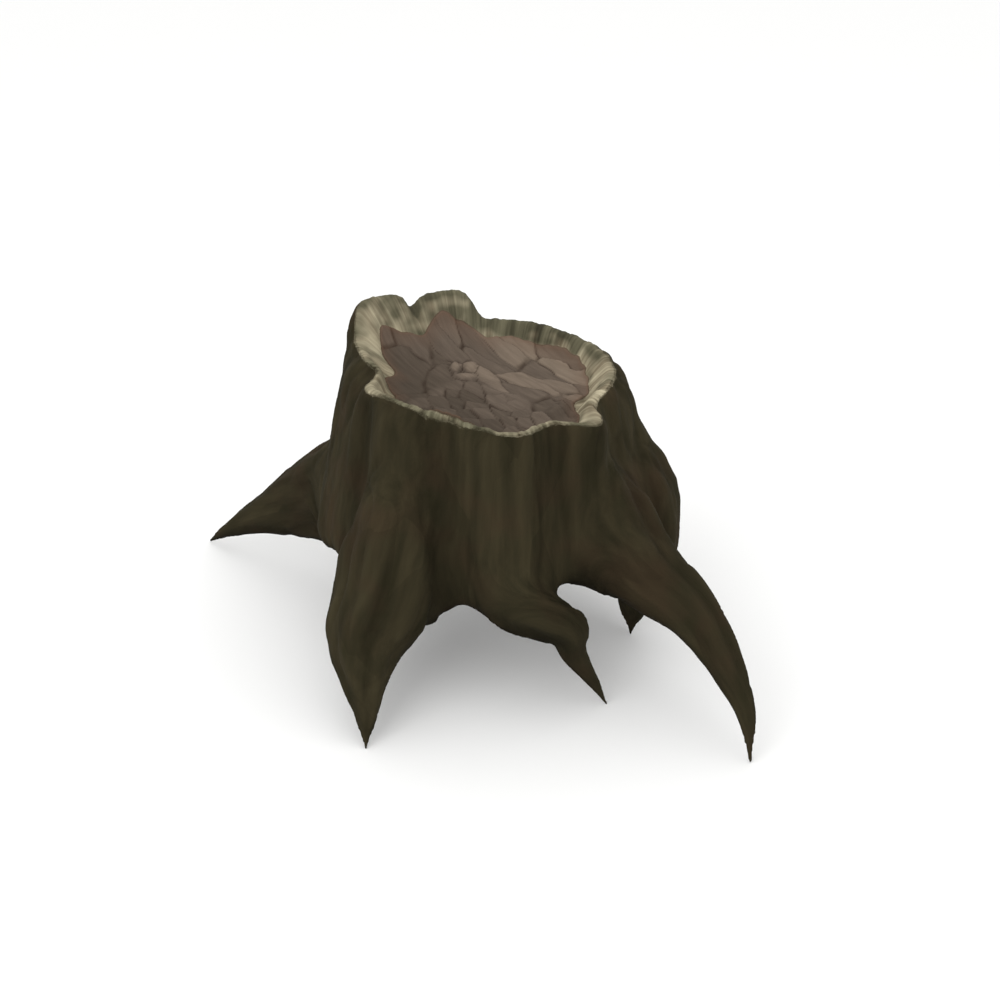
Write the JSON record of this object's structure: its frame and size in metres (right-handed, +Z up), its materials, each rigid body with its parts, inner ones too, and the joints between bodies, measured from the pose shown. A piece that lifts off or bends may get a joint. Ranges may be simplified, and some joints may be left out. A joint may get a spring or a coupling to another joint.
{
  "type": "tree stump",
  "caption": "Weathered tree stump with a broken hollowed top and bare arching roots that taper to points on the ground.",
  "frame": {"origin": "on the ground, under the middle of the stump's box; the cut tips of the roots stand on z = 0", "axes": "+Z up along the trunk; +X to the right and +Y to the back when the longest bare root lies to the left"},
  "size_m": [0.9754, 0.7774, 0.5755],
  "materials": {
    "weathered_wood": "weathered"
  },
  "bodies": {
    "root": {"stump": "weathered_wood"}
  },
  "joints": []
}
